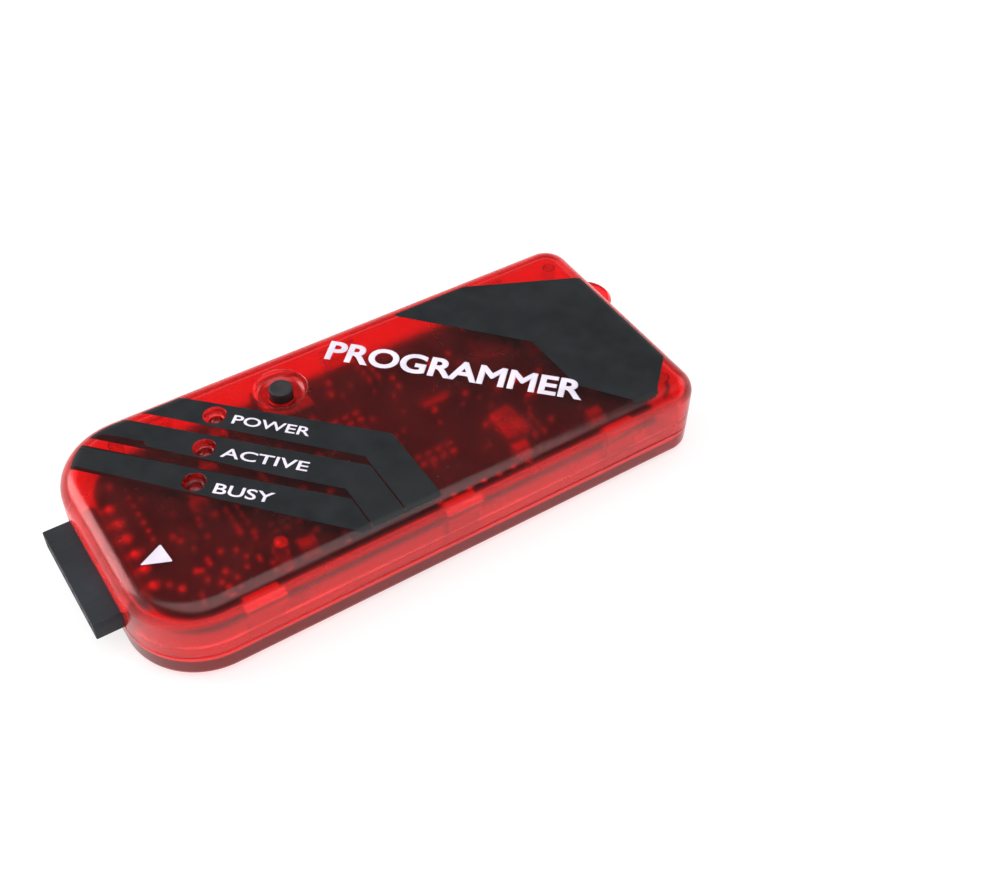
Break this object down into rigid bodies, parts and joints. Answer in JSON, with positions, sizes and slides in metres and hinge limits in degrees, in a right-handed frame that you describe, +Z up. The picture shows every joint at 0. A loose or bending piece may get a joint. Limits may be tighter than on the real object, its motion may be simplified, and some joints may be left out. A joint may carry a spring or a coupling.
{
  "type": "in-circuit programmer",
  "caption": "Pocket in-circuit programmer: circuit board in a clear red snap-fit case, with a push button, indicator wells, a programming header and a USB receptacle.",
  "frame": {"origin": "under the middle of the case, on the face that it rests on", "axes": "+X towards the USB end, -X towards the programming header, +Z up out of the printed face"},
  "size_m": [0.08, 0.0332, 0.0109],
  "materials": {
    "clear_red_plastic": "clear red polycarbonate, gloss outside, lightly frosted inside",
    "board_laminate": "dark solder-masked glass-epoxy laminate",
    "header_plastic": "matte black moulded nylon",
    "gold_contact": "gold-plated contact metal",
    "nickel_plate": "nickel-plated stamped steel, satin",
    "connector_plastic": "black glass-filled nylon",
    "switch_plastic": "black moulded nylon",
    "button_plastic": "matte black moulded plastic",
    "tinned_steel": "tinned steel",
    "chip_epoxy": "black moulding compound, matte, with tinned leads",
    "led_lens": "pale clear resin lens on a white base",
    "ferrite": "dark grey ferrite",
    "tantalum": "amber moulding compound with tinned ends",
    "ceramic": "tan ceramic with tinned ends",
    "printed_black": "matte black pad-printed ink",
    "printed_white": "white pad-printed ink",
    "solder": "reflowed tin solder"
  },
  "bodies": {
    "device": {"top_shell": "clear_red_plastic", "bottom_shell": "clear_red_plastic", "pcb": "board_laminate", "header_housing": "header_plastic", "header_contact_1": "gold_contact", "header_contact_2": "gold_contact", "header_contact_3": "gold_contact", "header_contact_4": "gold_contact", "header_contact_5": "gold_contact", "header_contact_6": "gold_contact", "usb_receptacle_shell": "nickel_plate", "usb_insulator": "connector_plastic", "usb_contact_1": "gold_contact", "usb_contact_2": "gold_contact", "usb_contact_3": "gold_contact", "usb_contact_4": "gold_contact", "usb_contact_5": "gold_contact", "switch_base": "switch_plastic", "switch_cover": "tinned_steel", "switch_dome": "tinned_steel", "switch_terminal_1": "tinned_steel", "switch_terminal_2": "tinned_steel", "led_power": "led_lens", "led_active": "led_lens", "led_busy": "led_lens", "microcontroller": "chip_epoxy", "memory_chip": "chip_epoxy", "op_amp_chip": "chip_epoxy", "bus_buffer_chip": "chip_epoxy", "regulator": "chip_epoxy", "crystal": "tinned_steel", "power_inductor": "ferrite", "tantalum_capacitor_1": "tantalum", "tantalum_capacitor_2": "tantalum", "ceramic_capacitor_1": "ceramic", "ceramic_capacitor_2": "ceramic", "ceramic_capacitor_3": "ceramic", "ceramic_capacitor_4": "ceramic", "transistor_1": "chip_epoxy", "transistor_2": "chip_epoxy", "transistor_3": "chip_epoxy", "diode_1": "chip_epoxy", "diode_2": "chip_epoxy"},
    "button": {"switch_plunger": "button_plastic"}
  },
  "joints": [
    {"name": "button_press", "type": "slide", "parent": "device", "child": "button", "axis": [0, 0, -1], "range_m": [0, 0.00025], "stiffness_N_per_m": 200}
  ]
}
